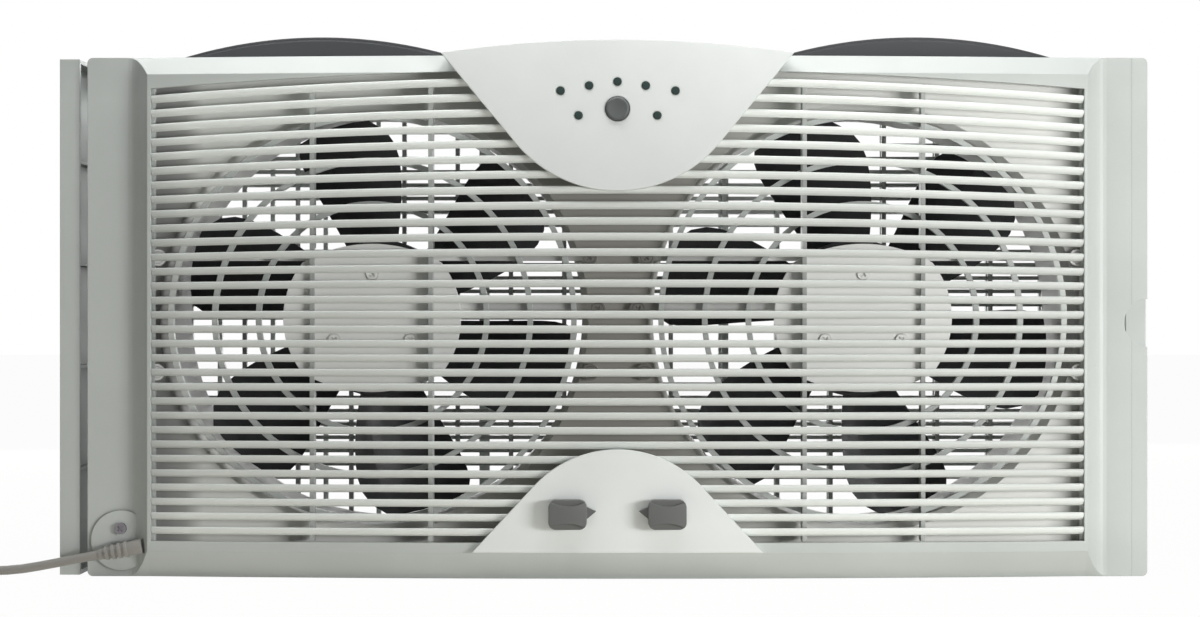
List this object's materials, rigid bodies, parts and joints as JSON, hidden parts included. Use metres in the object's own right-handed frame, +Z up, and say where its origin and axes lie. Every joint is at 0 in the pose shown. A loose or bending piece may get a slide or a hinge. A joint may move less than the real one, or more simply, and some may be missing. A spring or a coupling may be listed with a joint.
{
  "type": "window fan",
  "caption": "Window fan with side-by-side rotors behind a slatted bowed front, control panels, sliding side extenders, top carry handles and a power cord.",
  "frame": {"origin": "middle of the housing's underside, on the joint line between the front and rear housings", "axes": "+X to the right of someone facing the slatted front, +Y from the slatted front (indoors) to the back, +Z up"},
  "size_m": [0.7037, 0.1883, 0.3032],
  "materials": {
    "body": "satin moulded plastic, pale grey",
    "cover": "satin moulded plastic, paler grey",
    "deck": "satin moulded plastic, mid grey",
    "blade": "satin black plastic",
    "grip": "satin dark grey plastic",
    "knob": "satin dark grey plastic",
    "lens": "clear dark lens plastic",
    "board": "coated circuit board",
    "copper": "enamelled winding wire on steel laminations",
    "brass": "plain metal",
    "steel": "zinc plated",
    "cord": "soft cord jacket"
  },
  "bodies": {
    "housing": {"front_housing": "body", "front_grille": "body", "upper_panel": "cover", "indicator_lenses": "lens", "display_board": "board", "lower_panel": "cover", "rotary_switches": "blade", "power_board": "board", "air_deck": "deck", "motor_mount_left": "cover", "motor_mount_right": "cover", "motor_can_left": "steel", "motor_can_right": "steel", "stator_left": "copper", "stator_right": "copper", "bushings_left": "brass", "bushings_right": "brass", "rear_housing": "body", "rear_grille_left": "body", "rear_grille_right": "body", "handle_left": "grip", "handle_right": "grip", "strain_relief": "cord", "cord_clamp": "steel", "power_cord": "cord", "cord_coil": "cord", "cord_tie": "blade", "plug_body": "cord", "plug_pins": "brass", "panel_screws": "steel", "mount_screws": "steel", "motor_screws": "steel", "grille_screws": "steel", "handle_screws": "steel", "board_screws": "steel", "housing_screws": "steel"},
    "rotor_left": {"fan_rotor_left": "blade", "motor_shaft_left": "steel", "rotor_nut_left": "grip"},
    "rotor_right": {"fan_rotor_right": "blade", "motor_shaft_right": "steel", "rotor_nut_right": "grip"},
    "extender_left": {"stile_left": "body", "screen_left": "body"},
    "extender_right": {"stile_right": "body", "screen_right": "body"},
    "button": {"power_button": "knob"},
    "selector_left": {"knob_left": "knob"},
    "selector_right": {"knob_right": "knob"}
  },
  "joints": [
    {"name": "fan_left_spin", "type": "hinge", "parent": "housing", "child": "rotor_left", "pos_m": [-0.134, 0, 0.142], "axis": [0, 1, 0], "continuous": true},
    {"name": "fan_right_spin", "type": "hinge", "parent": "housing", "child": "rotor_right", "pos_m": [0.134, 0, 0.142], "axis": [0, 1, 0], "continuous": true},
    {"name": "extender_left_slide", "type": "slide", "parent": "housing", "child": "extender_left", "axis": [-1, 0, 0], "range_m": [-0.0162, 0.1538]},
    {"name": "extender_right_slide", "type": "slide", "parent": "housing", "child": "extender_right", "axis": [1, 0, 0], "range_m": [0, 0.17]},
    {"name": "button_press", "type": "slide", "parent": "housing", "child": "button", "axis": [0, 1, 0], "range_m": [0, 0.0012], "stiffness_N_per_m": 400},
    {"name": "knob_left_turn", "type": "hinge", "parent": "housing", "child": "selector_left", "pos_m": [-0.0268, -0.078, 0.0363], "axis": [0, 1, 0], "range_deg": [-45, 45]},
    {"name": "knob_right_turn", "type": "hinge", "parent": "housing", "child": "selector_right", "pos_m": [0.0268, -0.078, 0.0363], "axis": [0, 1, 0], "range_deg": [-45, 45]}
  ]
}
